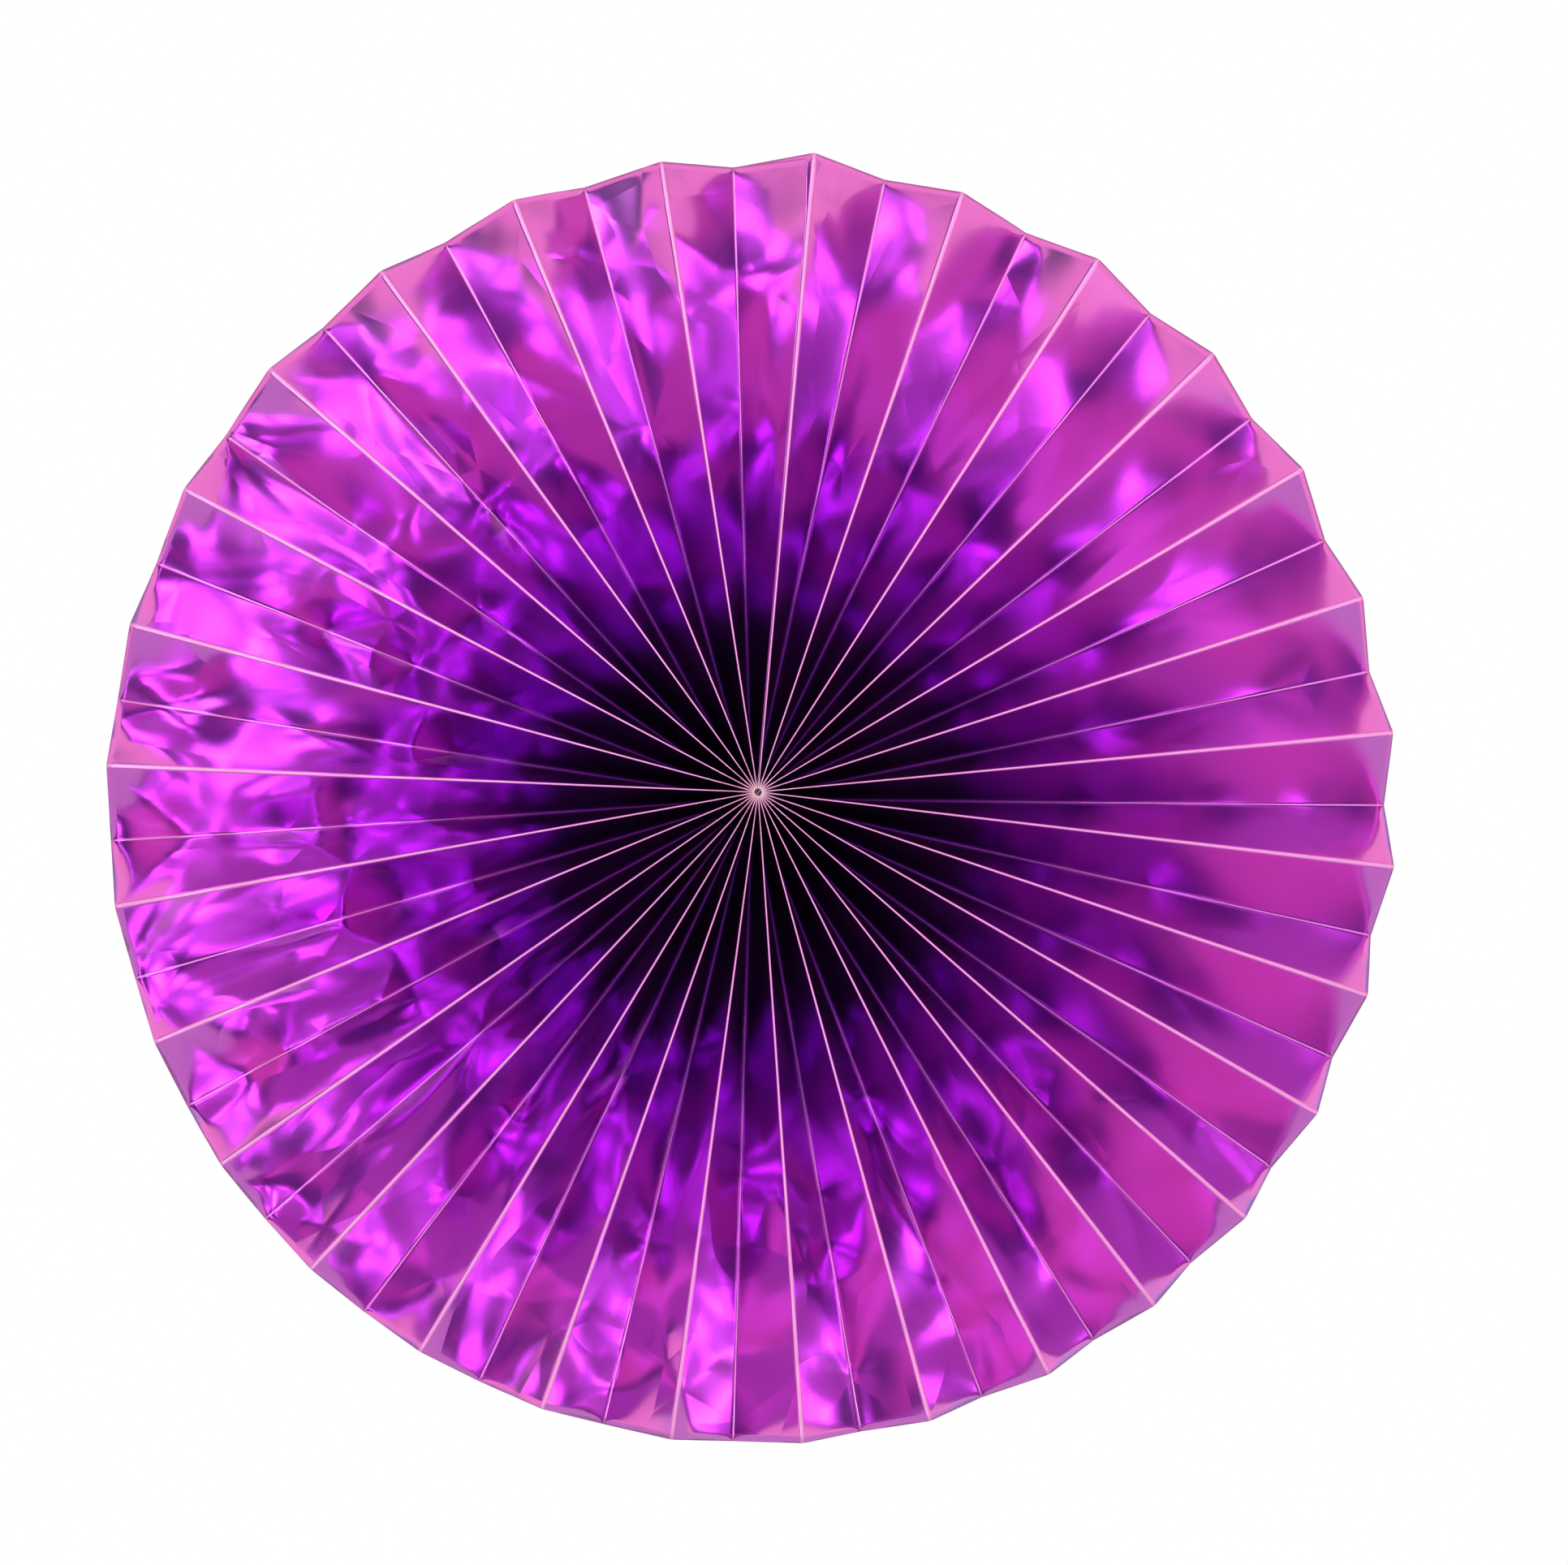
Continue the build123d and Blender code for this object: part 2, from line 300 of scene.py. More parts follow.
    # A point lies on the leaf, or on the rounded crest that joins it to the next leaf
    first, last, outward = leafEdges(leaf)
    nextLeaf = add(tree, mathNode, (leaf, 1), operation="ADD")
    nextFirst, nextLast = leafEdges(nextLeaf)[:2]
    onLeaf = add(tree, mixNode, {0: across, 4: first, 5: last}, **vectorMix)
    crestStart = add(tree, mathNode, (1, rounding), operation="SUBTRACT")
    beforeFold = add(tree, mixNode, {0: crestStart, 4: first, 5: last}, **vectorMix)
    afterFold = add(tree, mixNode, {0: rounding, 4: nextFirst, 5: nextLast}, **vectorMix)
    sharp = add(tree, mixNode, {0: 0.5, 4: last, 5: nextFirst}, **vectorMix)
    chord = add(tree, mixNode, {0: 0.5, 4: beforeFold, 5: afterFold}, **vectorMix)
    peak = add(tree, vectorNode, (sharp, chord), operation="SUBTRACT")
    hump = add(tree, mathNode, (1, overCrest), operation="SUBTRACT")
    hump = add(tree, mathNode, (overCrest, hump), operation="MULTIPLY")
    hump = add(tree, mathNode, (hump, 4), operation="MULTIPLY")
    raised = add(tree, vectorNode, {0: peak, 3: hump}, operation="SCALE")
    onCrest = add(tree, mixNode, {0: overCrest, 4: beforeFold, 5: afterFold}, **vectorMix)
    onCrest = add(tree, vectorNode, (onCrest, raised), operation="ADD")
    position = add(tree, mixNode, {0: atLast, 4: onLeaf, 5: onCrest}, **vectorMix)

    # The place on the flat strip, and an uneven count of buckle or dent lengths along it
    facing = add(tree, vectorNode, (last, first), operation="SUBTRACT")
    facing = add(tree, vectorNode, (facing, outward), operation="CROSS_PRODUCT")
    facing = add(tree, vectorNode, (facing,), operation="NORMALIZE")
    developed = add(tree, mathNode, (leaf, across), operation="ADD")
    developed = add(tree, mathNode, (developed, given["Leaf Width"]), operation="MULTIPLY")
    distance = add(tree, mathNode, (along, given["Strip Width"]), operation="MULTIPLY")
    flatPlace = add(tree, joinNode, (developed, distance, 0))
    odd = add(tree, mathNode, (across, 0.5), operation="GREATER_THAN")
    odd = add(tree, mathNode, (leaf, odd), operation="ADD")
    odd = add(tree, mathNode, (odd, 2), operation="FLOORED_MODULO")
    marked = add(tree, joinNode, (developed, distance, odd))

    def patches(length, seedStep):
        size = add(tree, joinNode, (length, length, 1))
        place = add(tree, vectorNode, (flatPlace, size), operation="DIVIDE")
        layer = add(tree, mathNode, (given["Seed"], seedStep), operation="ADD")
        layer = add(tree, joinNode, (0, 0, layer))
        place = add(tree, vectorNode, (place, layer), operation="ADD")
        return add(tree, noiseNode, {"Vector": place, "Scale": 1.0, "Detail": 0.0})

    def unevenCount(length, seedStep):
        # The noise lies about a quarter above or below one half
        most = add(tree, mathNode, (given["Wander"], 4), operation="MULTIPLY")
        stray = add(tree, mathNode, (patches(length, seedStep), 0.5), operation="SUBTRACT")
        stray = add(tree, mathNode, (stray, most), operation="MULTIPLY")
        even = add(tree, mathNode, (distance, length), operation="DIVIDE")
        return add(tree, mathNode, (even, stray), operation="ADD")

    # Buckles: each fold bends at its own points, and flat facets with slanting creases join them
    count = unevenCount(given["Buckle Length"], 0)
    oddLeaf = add(tree, mathNode, (leaf, 2), operation="FLOORED_MODULO")
    fromValley = add(tree, mathNode, (oddLeaf, across), operation="SUBTRACT")
    fromValley = add(tree, mathNode, (fromValley,), operation="ABSOLUTE")
    fromRidge = add(tree, mathNode, (1, fromValley), operation="SUBTRACT")
    halfWay = add(tree, mathNode, (fromValley, 0.5), operation="MULTIPLY")

    def bend(fold, point):
        # The folds of the glued leaves stay straight
        place = add(tree, joinNode, (fold, point, given["Seed"]))
        depth = add(tree, "ShaderNodeTexWhiteNoise", {"Vector": place}, noise_dimensions="3D")
        depth = add(tree, mathNode, (depth, 0.5), operation="SUBTRACT")
        afterSeam = add(tree, mathNode, (fold, 1.5), operation="GREATER_THAN")
        lastLoose = add(tree, mathNode, (given["Leaf Count"], 2.5), operation="SUBTRACT")
        beforeSeam = add(tree, mathNode, (fold, lastLoose), operation="LESS_THAN")
        loose = add(tree, mathNode, (afterSeam, beforeSeam), operation="MULTIPLY")
        return add(tree, mathNode, (depth, loose), operation="MULTIPLY")

    def bentFold(fold, place, share, skip):
        point = add(tree, mathNode, (place,), operation="FLOOR")
        point = add(tree, mathNode, (point, skip), operation="SUBTRACT")
        nextPoint = add(tree, mathNode, (point, 1), operation="ADD")
        span = add(tree, mathNode, (share, 0.001), operation="MAXIMUM")    # never zero
        between = add(tree, mathNode, (place,), operation="FRACT")
        between = add(tree, rangeNode, (between, 0.0, span, 0.0, 1.0))
        here = bend(fold, point)
        there = bend(fold, nextPoint)
        change = add(tree, mathNode, (there, here), operation="SUBTRACT")
        depth = add(tree, mathNode, (change, between, here), operation="MULTIPLY_ADD")
        return add(tree, mathNode, (share, depth), operation="MULTIPLY")

    valleyFold = add(tree, mathNode, (leaf, oddLeaf), operation="ADD")
    valleyPlace = add(tree, mathNode, (count, halfWay), operation="SUBTRACT")
    valley = bentFold(valleyFold, valleyPlace, fromRidge, 0)
    ridgeFold = add(tree, mathNode, (leaf, 1), operation="ADD")
    ridgeFold = add(tree, mathNode, (ridgeFold, oddLeaf), operation="SUBTRACT")
    ridgePlace = add(tree, mathNode, (count, halfWay), operation="ADD")
    ridge = bentFold(ridgeFold, ridgePlace, fromValley, 1)
    buckle = add(tree, mathNode, (valley, ridge), operation="ADD")
    buckle = add(tree, mathNode, (buckle, given["Buckle Depth"]), operation="MULTIPLY")

    # Dents between the folds: creases cross the strip aslant both ways
    phase = unevenCount(given["Dent Length"], 7)
    rising = add(tree, mathNode, (phase, across), operation="ADD")
    rising = add(tree, mathNode, (rising, 0.5), operation="PINGPONG")
    falling = add(tree, mathNode, (phase, across), operation="SUBTRACT")
    falling = add(tree, mathNode, (falling, 0.5), operation="PINGPONG")
    uneven = patches(given["Dent Length"], 13)
    uneven = add(tree, rangeNode, (uneven, *usualNoise, given["Dent Weakest"], given["Dent Strongest"]))
    dent = add(tree, mathNode, (rising, falling), operation="ADD")
    dent = add(tree, mathNode, (dent, 0.5), operation="SUBTRACT")
    dent = add(tree, mathNode, (dent, given["Dent Depth"]), operation="MULTIPLY")
    dent = add(tree, mathNode, (dent, uneven), operation="MULTIPLY")

    # Both are weaker on the calm side and near the hub, and dents end at the folds and the glued leaves
    turn = add(tree, mathNode, (leaf, 2 * pi), operation="MULTIPLY")
    turn = add(tree, mathNode, (turn, given["Leaf Count"]), operation="DIVIDE")
    unrest = add(tree, mathNode, (turn, given["Calm Side"]), operation="SUBTRACT")
    unrest = add(tree, mathNode, (unrest,), operation="COSINE")
    unrest = add(tree, mathNode, (unrest, -0.5, 0.5), operation="MULTIPLY_ADD")
    strength = add(tree, rangeNode, (unrest, 0.0, 1.0, given["Calm Share"], 1.0))
    begins = add(tree, rangeNode, (along, given["Dent Start"], given["Dent Full"], 0.0, 1.0),
                 interpolation_type="SMOOTHSTEP")
    reach = add(tree, mathNode, (strength, begins), operation="MULTIPLY")
    toLast = add(tree, mathNode, (1, across), operation="SUBTRACT")
    nearFold = add(tree, mathNode, (across, toLast), operation="MINIMUM")
    free = add(tree, rangeNode, (nearFold, rounding, given["Dent Margin"], 0.0, 1.0))
    afterFirst = add(tree, mathNode, (leaf, 0.5), operation="GREATER_THAN")
    endLeaf = add(tree, mathNode, (given["Leaf Count"], 1.5), operation="SUBTRACT")
    beforeLast = add(tree, mathNode, (leaf, endLeaf), operation="LESS_THAN")
    loose = add(tree, mathNode, (afterFirst, beforeLast), operation="MULTIPLY")
    free = add(tree, mathNode, (free, loose), operation="MULTIPLY")
    reach = add(tree, mathNode, (reach, free), operation="MULTIPLY")
    dent = add(tree, mathNode, (dent, reach), operation="MULTIPLY")
    grows = add(tree, rangeNode, (along, given["Dent Start"], given["Buckle Full"], 0.0, 1.0))
    grows = add(tree, mathNode, (strength, grows), operation="MULTIPLY")
    buckle = add(tree, mathNode, (buckle, grows), operation="MULTIPLY")

    # The loose corner of the last leaf stands off
    isLast = add(tree, mathNode, (leaf, endLeaf), operation="GREATER_THAN")
    lift = add(tree, rangeNode, (along, given["Lift Start"], 1.0, 0.0, given["Seam Lift"]))
    lift = add(tree, mathNode, (lift, across), operation="MULTIPLY")
    lift = add(tree, mathNode, (lift, isLast), operation="MULTIPLY")
    swell = add(tree, mathNode, (dent, lift), operation="ADD")
    offset = add(tree, vectorNode, {0: facing, 3: swell}, operation="SCALE")
    buckled = add(tree, joinNode, (0, buckle, 0))
    offset = add(tree, vectorNode, (offset, buckled), operation="ADD")
    position = add(tree, vectorNode, (position, offset), operation="ADD")
    mesh = add(tree, "GeometryNodeSetPosition", {"Geometry": grid, "Position": position})

    # Kept for the finish: the distance to the nearest fold, and the place on the flat strip
    offCrest = add(tree, mathNode, (overCrest, 0.01), operation="LESS_THAN")
    creased = add(tree, mathNode, (nearFold, given["Leaf Width"]), operation="MULTIPLY")
    creased = add(tree, mathNode, (creased, offCrest), operation="MULTIPLY")
    for name, value, kind in (("foldDistance", creased, "FLOAT"), ("stripMap", marked, "FLOAT_VECTOR")):
        sockets = {"Geometry": mesh, "Name": name, "Value": value}
        mesh = add(tree, "GeometryNodeStoreNamedAttribute", sockets, data_type=kind, domain="POINT")
    mesh = add(tree, "GeometryNodeSetShadeSmooth", {"Geometry": mesh})
    mesh = add(tree, "GeometryNodeRealizeInstances", {"Geometry": mesh})
    mesh = add(tree, "GeometryNodeSetMaterial", {"Geometry": mesh, "Material": given["Foil"]})
    add(tree, "NodeGroupOutput", {"Paper": mesh})
    return tree


def plainMesh(source, name, materials):
    evaluated = source.evaluated_get(bpy.context.evaluated_depsgraph_get())
    mesh = bpy.data.meshes.new_from_object(evaluated)
    mesh.name = name
    piece = bpy.data.objects.new(name, mesh)
    bpy.context.collection.objects.link(piece)
    bpy.data.objects.remove(source)
    sides = [face.material_index for face in mesh.polygons]
    firstSide = min(sides)
    mesh.materials.clear()
    for material in materials:
        mesh.materials.append(material)
    mesh.polygons.foreach_set("material_index", [side - firstSide for side in sides])
    return piece


def setInputs(modifier, values):
    for item in modifier.node_group.interface.items_tree:
        if item.item_type == "SOCKET" and item.in_out == "INPUT" and item.name in values:
            modifier[item.identifier] = values[item.name]


def makeStrip(foilMaterial, paperMaterial):
    corners = bpy.data.meshes.new("foldCorners")
    corners.from_pydata([tuple(point) for point in allCorners()], [], [])
    source = bpy.data.objects.new("foldCorners", corners)
    bpy.context.collection.objects.link(source)
    modifier = source.modifiers.new("pleats", "NODES")
    modifier.node_group = pleatTree()
    setInputs(modifier, {
        "Leaf Count": leafCount,
        "Cells Across": foil["cellsAcross"],
        "Crest Cells": foil["crestCells"],
        "Cells Along": foil["cellsAlong"],
        "Strip Width": strip["stripWidth"] * mm,
        "Leaf Width": leafWidth * mm,
        "Hub Radius": hubRadius * mm,
        "Outer Cells": foil["outerCells"],
        "Crest Width": foil["crestWidth"] * mm,
        "Crest Share": foil["crestShare"],
        "Ridge Room": foil["ridgeRoom"],
        "Valley Share": foil["valleyShare"],
        "Fold Rounding": foil["foldRounding"] * mm,
        "Flat Edge": foil["flatEdge"] * mm,
        "Buckle Depth": foil["buckleDepth"] * mm,
        "Buckle Length": foil["buckleLength"] * mm,
        "Buckle Full": foil["buckleFull"],
        "Dent Depth": foil["dentDepth"] * mm,
        "Dent Length": foil["dentLength"] * mm,
        "Dent Weakest": foil["dentWeakest"],
        "Dent Strongest": foil["dentStrongest"],
        "Dent Margin": foil["dentMargin"],
        "Wander": foil["wander"],
        "Dent Start": foil["dentStart"],
        "Dent Full": foil["dentFull"],
        "Calm Side": radians(foil["calmSide"]),
        "Calm Share": foil["calmShare"],
        "Seam Lift": foil["seamLift"] * mm,
        "Lift Start": foil["liftStart"],
        "Seed": foil["seed"],
        "Foil": foilMaterial,
    })
    solidify = source.modifiers.new("paper", "SOLIDIFY")
    solidify.thickness = strip["paperThickness"] * mm
    solidify.offset = 0
    solidify.material_offset = 1
    for material in (foilMaterial, foilMaterial, paperMaterial):
        source.data.materials.append(material)
    return plainMesh(source, "foil_strip", (foilMaterial, paperMaterial))


# The tape in the glued seam

tape = dict(
    start=60.0,           # from the hub
    end=188.0,
    near=0.4,             # shares of the way across the leaf
    far=0.9,
    cellsAcross=6,
    cellsAlong=48,
)


def leafEdge(leaf, side, along):
    corners = leafCorners(leaf)
    hub, rim = corners[:2] if side > 0 else corners[2:]
    point = hub.lerp(rim, along)
    clockwise = point.cross(Vector((0, -1, 0))).normalized()
    width = foil["crestWidth"] * (foil["crestShare"] + (1 - foil["crestShare"]) * along)
    if side > 0:
        width *= foil["valleyShare"]
    return point + clockwise * side * width / 2


def tapePoint(across, along, level):
    point = leafEdge(1, 1, along).lerp(leafEdge(1, -1, along), across)
    offset = seamNormal(0).lerp(seamNormal(1), along) * seamStep / 2
    return (point + offset + offset.normalized() * level) * mm


def makeTape(material):
    points = []
    faces = []
    wide = tape["cellsAcross"] + 1
    layer = wide * (tape["cellsAlong"] + 1)
    for level in (strip["tapeThickness"] / 2, -strip["tapeThickness"] / 2):
        for row in range(tape["cellsAlong"] + 1):
            distance = tape["start"] + (tape["end"] - tape["start"]) * row / tape["cellsAlong"]
            for column in range(wide):
                across = tape["near"] + (tape["far"] - tape["near"]) * column / tape["cellsAcross"]
                points.append(tapePoint(across, distance / strip["stripWidth"], level))
    for row in range(tape["cellsAlong"]):
        for column in range(tape["cellsAcross"]):
            corner = row * wide + column
            ring = (corner, corner + 1, corner + wide + 1, corner + wide)
            faces.append(ring)
            faces.append([index + layer for index in reversed(ring)])
    border = list(range(wide))
    border += [row * wide + wide - 1 for row in range(1, tape["cellsAlong"] + 1)]
    border += [layer - 1 - column for column in range(1, wide)]
    border += [row * wide for row in range(tape["cellsAlong"] - 1, 0, -1)]
    for here, there in zip(border, border[1:] + border[:1]):
        faces.append((there, here, here + layer, there + layer))
    mesh = bpy.data.meshes.new("tape_film")
    mesh.from_pydata(points, [], faces)
    mesh.materials.append(material)
    piece = bpy.data.objects.new("tape_film", mesh)
    bpy.context.collection.objects.link(piece)
    return piece


# Materials

def newMaterial(name):
    material = bpy.data.materials.new(name)
    material.use_nodes = True
    tree = material.node_tree
    tree.nodes.clear()
    return material, tree


foilFinish = dict(
    colour="#D06CDC",
    shadedInnerColour="#BA5ACE",    # painted shade: drawn darker towards the hub, where the grooves are in shade
    fullShadeUntil=0.45,          # shares of the way from hub to rim over which it turns to the outer one
    noShadeFrom=0.85,
    creaseColour="#E494DC",
    innerCreaseColour="#E2A8C8",
    outerCreaseFrom=0.6,
    hubColour="#FFD2E6",
    roughness=0.19,
    cloudSize=30.0,           # patches of smoother and rougher coat
    smoother=0.04,
    rougher=0.05,
    lacquer=0.7,
    lacquerRoughness=0.25,
    creaseWidth=0.35,         # at the rim, on each side of the fold
    creaseShare=0.45,         # of that width at the hub
    creaseCore=0.5,           # share of the width in which the coat is wholly cracked
    creaseRoughness=0.42,
    creaseMetal=0.35,         # the rest is bare paper fibre
    valleyShare=0.6,          # painted shade: an inward fold shows less pale crease, none near the hub, so it reads dimmer
    valleyStart=0.25,         # shares of the way from hub to rim
    valleyFull=0.6,
    wornReach=6.0,            # the gathered edge has lost its colour this far from the hub
    facetWidth=62.0,          # crinkles between the buckles, round the rosette
    facetLength=60.0,         # and along the folds
    facetSlope=0.08,
    lineWidth=0.26,           # how far a crease is felt on each side, in facet sizes
    lineHeight=0.05,
    facetEdge=0.06,           # rounding of a crease, in facet sizes
    facetStart=0.3,           # shares of the way from hub to rim
    facetFull=0.55,
    swaySize=1.1,             # changes from ridge to hollow in each facet size
)


def crinkles(tree, place, fromHub):
    # Sharp creases along cell edges, and flat facets sloping away from them
    size = (foilFinish["facetWidth"] * mm, foilFinish["facetLength"] * mm, 1)
    cell = add(tree, vectorNode, (place, size), operation="DIVIDE")
    edge = add(tree, "ShaderNodeTexVoronoi", {"Vector": cell, "Scale": 1.0},
               voronoi_dimensions="2D", feature="DISTANCE_TO_EDGE")
    rounded = add(tree, mathNode, (edge, edge, foilFinish["facetEdge"] ** 2), operation="MULTIPLY_ADD")
    rounded = add(tree, mathNode, (rounded,), operation="SQRT")
    near = add(tree, mathNode, (rounded, -1 / foilFinish["lineWidth"], 1),
               operation="MULTIPLY_ADD", use_clamp=True)
    line = add(tree, mathNode, (near, near), operation="MULTIPLY")
    line = add(tree, mathNode, (line, foilFinish["lineHeight"]), operation="MULTIPLY")
    height = add(tree, mathNode, (rounded, -foilFinish["facetSlope"], line), operation="MULTIPLY_ADD")

    # They stand out or in by turns, and are weaker on the calm side and near the hub
    sway = add(tree, noiseNode, {"Vector": cell, "Scale": foilFinish["swaySize"], "Detail": 0.0},
               noise_dimensions="2D")
    sway = add(tree, rangeNode, (sway, *widestNoise, -1.0, 1.0))
    around = add(tree, "ShaderNodeSeparateXYZ", (place,))
    turn = add(tree, mathNode, (around, 2 * pi / (leafCount * leafWidth * mm)), operation="MULTIPLY")
    unrest = add(tree, mathNode, (turn, radians(foil["calmSide"])), operation="SUBTRACT")
    unrest = add(tree, mathNode, (unrest,), operation="COSINE")
    unrest = add(tree, mathNode, (unrest, -0.5, 0.5), operation="MULTIPLY_ADD")
    strength = add(tree, rangeNode, (unrest, 0.0, 1.0, foil["calmShare"], 1.0))
    length = strip["stripWidth"] * mm
    begins = add(tree, rangeNode, (
        fromHub, foilFinish["facetStart"] * length, foilFinish["facetFull"] * length, 0.0, 1.0,
    ))
    height = add(tree, mathNode, (height, sway), operation="MULTIPLY")
    strength = add(tree, mathNode, (strength, begins), operation="MULTIPLY")
    return add(tree, mathNode, (height, strength), operation="MULTIPLY")


def metallisedFoil():
    # Metal film under a clear purple coat: coloured mirrors, paler and duller where a fold cracks the coat
    material, tree = newMaterial("metallisedPurpleFoil")
    distance = add(tree, "ShaderNodeAttribute", attribute_name="foldDistance", out=2)
    marked = add(tree, "ShaderNodeAttribute", attribute_name="stripMap", out=1)
    place = add(tree, vectorNode, (marked, (1, 1, 0)), operation="MULTIPLY")
    ridge = add(tree, "ShaderNodeSeparateXYZ", (marked,), out=2)
    fromHub = add(tree, "ShaderNodeSeparateXYZ", (marked,), out=1)
    length = strip["stripWidth"] * mm
    widest = foilFinish["creaseWidth"] * mm
    narrowest = widest * foilFinish["creaseShare"]
    width = add(tree, rangeNode, (fromHub, 0.0, length, narrowest, widest))
    near = add(tree, mathNode, (distance, width), operation="DIVIDE")
    # Painted shade: folds that point inwards keep less of the pale crease, fading to none towards the hub,
    # as folds in shade
    lit = add(tree, rangeNode, (
        fromHub, length * foilFinish["valleyStart"], length * foilFinish["valleyFull"],
        0.0, foilFinish["valleyShare"],
    ))
    most = add(tree, mixNode, {0: ridge, 2: lit, 3: 1.0}, data_type="FLOAT")
    crease = add(tree, rangeNode, (near, foilFinish["creaseCore"], 1.0, most, 0.0),
                 interpolation_type="SMOOTHSTEP")
    worn = add(tree, rangeNode, (fromHub, 0.0, foilFinish["wornReach"] * mm, 1.0, 0.0))
    outer = add(tree, rangeNode, (fromHub, 0.0, length * foilFinish["outerCreaseFrom"], 0.0, 1.0))
    creaseColour = add(tree, mixNode, {
        0: outer, 6: linear(foilFinish["innerCreaseColour"]), 7: linear(foilFinish["creaseColour"]),
    }, **colourMix)
    creaseColour = add(tree, mixNode, {0: worn, 6: creaseColour, 7: linear(foilFinish["hubColour"])},
                       **colourMix)
    crease = add(tree, mathNode, (crease, worn), operation="MAXIMUM")
    cloudScale = 1 / (foilFinish["cloudSize"] * mm)
    cloud = add(tree, noiseNode, {"Vector": place, "Scale": cloudScale, "Detail": 0.0})
    smoothest = foilFinish["roughness"] - foilFinish["smoother"]
    roughest = foilFinish["roughness"] + foilFinish["rougher"]
    roughness = add(tree, rangeNode, (cloud, *widestNoise, smoothest, roughest))
    roughness = add(tree, mixNode, {0: crease, 2: roughness, 3: foilFinish["creaseRoughness"]},
                    data_type="FLOAT")
    metal = add(tree, mixNode, {0: crease, 2: 1.0, 3: foilFinish["creaseMetal"]}, data_type="FLOAT")
    metal = add(tree, mixNode, {0: worn, 2: metal, 3: 0.0}, data_type="FLOAT")
    # Painted shade: the coat colour darkens towards the hub, where the pleats close in and the grooves are
    # in shade
    hubShade = add(tree, rangeNode, (
        fromHub, length * foilFinish["fullShadeUntil"], length * foilFinish["noShadeFrom"], 0.0, 1.0,
    ))
    shadedCoat = add(tree, mixNode, {
        0: hubShade, 6: linear(foilFinish["shadedInnerColour"]), 7: linear(foilFinish["colour"]),
    }, **colourMix)
    colour = add(tree, mixNode, {0: crease, 6: shadedCoat, 7: creaseColour}, **colourMix)
    facets = crinkles(tree, place, fromHub)
    facetSize = (foilFinish["facetWidth"] + foilFinish["facetLength"]) / 2 * mm
    bump = add(tree, "ShaderNodeBump", {"Strength": 1.0, "Distance": facetSize, "Height": facets})
    shader = add(tree, "ShaderNodeBsdfPrincipled", {
        "Base Color": colour, "Metallic": metal, "Roughness": roughness, "Normal": bump,
        "Coat Weight": foilFinish["lacquer"], "Coat Roughness": foilFinish["lacquerRoughness"],
    })
    add(tree, "ShaderNodeOutputMaterial", {"Surface": shader})
    return material


paperBack = dict(
    darkColour="#E9E5E2",
    paleColour="#F6F3F0",
    fibreSize=0.8,
    fibreDetail=4.0,
    fibreRelief=0.03,
    fibreStrength=0.2,
    roughness=0.75,
)


def whitePaper():
    # The bare back of the foil paper: soft, matt and nearly white, so that only the pleats shade it
    material, tree = newMaterial("uncoatedWhitePaper")
    place = add(tree, "ShaderNodeAttribute", attribute_name="stripMap", out=1)
    scale = 1 / (paperBack["fibreSize"] * mm)
    fibre = add(tree, noiseNode, {"Vector": place, "Scale": scale, "Detail": paperBack["fibreDetail"]})
    colour = add(tree, mixNode, {
        0: fibre, 6: linear(paperBack["darkColour"]), 7: linear(paperBack["paleColour"]),
    }, **colourMix)
    bump = add(tree, "ShaderNodeBump", {
        "Strength": paperBack["fibreStrength"], "Distance": paperBack["fibreRelief"] * mm, "Height": fibre,
    })
    shader = add(tree, "ShaderNodeBsdfPrincipled", {
        "Base Color": colour, "Roughness": paperBack["roughness"], "Normal": bump,
    })
    add(tree, "ShaderNodeOutputMaterial", {"Surface": shader})
    return material


threadFinish = dict(
    darkColour="#2E1440",
    paleColour="#4A2462",
    fibreSize=0.3,
    fibreDetail=3.0,
    fibreRelief=0.05,
    fibreStrength=0.4,
    roughness=0.85,
)


def cottonThread():
    # Dark dyed cotton: matt and fibrous, hardly seen deep in the grooves
    material, tree = newMaterial("cottonThread")
    place = add(tree, "ShaderNodeTexCoord", out=3)
    scale = 1 / (threadFinish["fibreSize"] * mm)
    fibre = add(tree, noiseNode, {"Vector": place, "Scale": scale, "Detail": threadFinish["fibreDetail"]})
    colour = add(tree, mixNode, {
        0: fibre, 6: linear(threadFinish["darkColour"]), 7: linear(threadFinish["paleColour"]),
    }, **colourMix)
    bump = add(tree, "ShaderNodeBump", {
        "Strength": threadFinish["fibreStrength"], "Distance": threadFinish["fibreRelief"] * mm,
        "Height": fibre,
    })
    shader = add(tree, "ShaderNodeBsdfPrincipled", {
        "Base Color": colour, "Roughness": threadFinish["roughness"], "Normal": bump,
    })
    add(tree, "ShaderNodeOutputMaterial", {"Surface": shader})
    return material


tapeFinish = dict(
    darkColour="#E6E2D2",
    paleColour="#F3F0E4",
    hazeSize=4.0,
    hazeDetail=2.0,
    roughness=0.3,
    opacity=0.7,
)


def clearTape():
    # Clear film tape: a thin yellowish edge with a satin shine between the glued leaves
    material, tree = newMaterial("clearFilmTape")
    place = add(tree, "ShaderNodeTexCoord", out=3)
    scale = 1 / (tapeFinish["hazeSize"] * mm)
    haze = add(tree, noiseNode, {"Vector": place, "Scale": scale, "Detail": tapeFinish["hazeDetail"]})
    colour = add(tree, mixNode, {
        0: haze, 6: linear(tapeFinish["darkColour"]), 7: linear(tapeFinish["paleColour"]),
    }, **colourMix)
    shader = add(tree, "ShaderNodeBsdfPrincipled", {
        "Base Color": colour, "Roughness": tapeFinish["roughness"], "Alpha": tapeFinish["opacity"],
    })
    add(tree, "ShaderNodeOutputMaterial", {"Surface": shader})
    return material


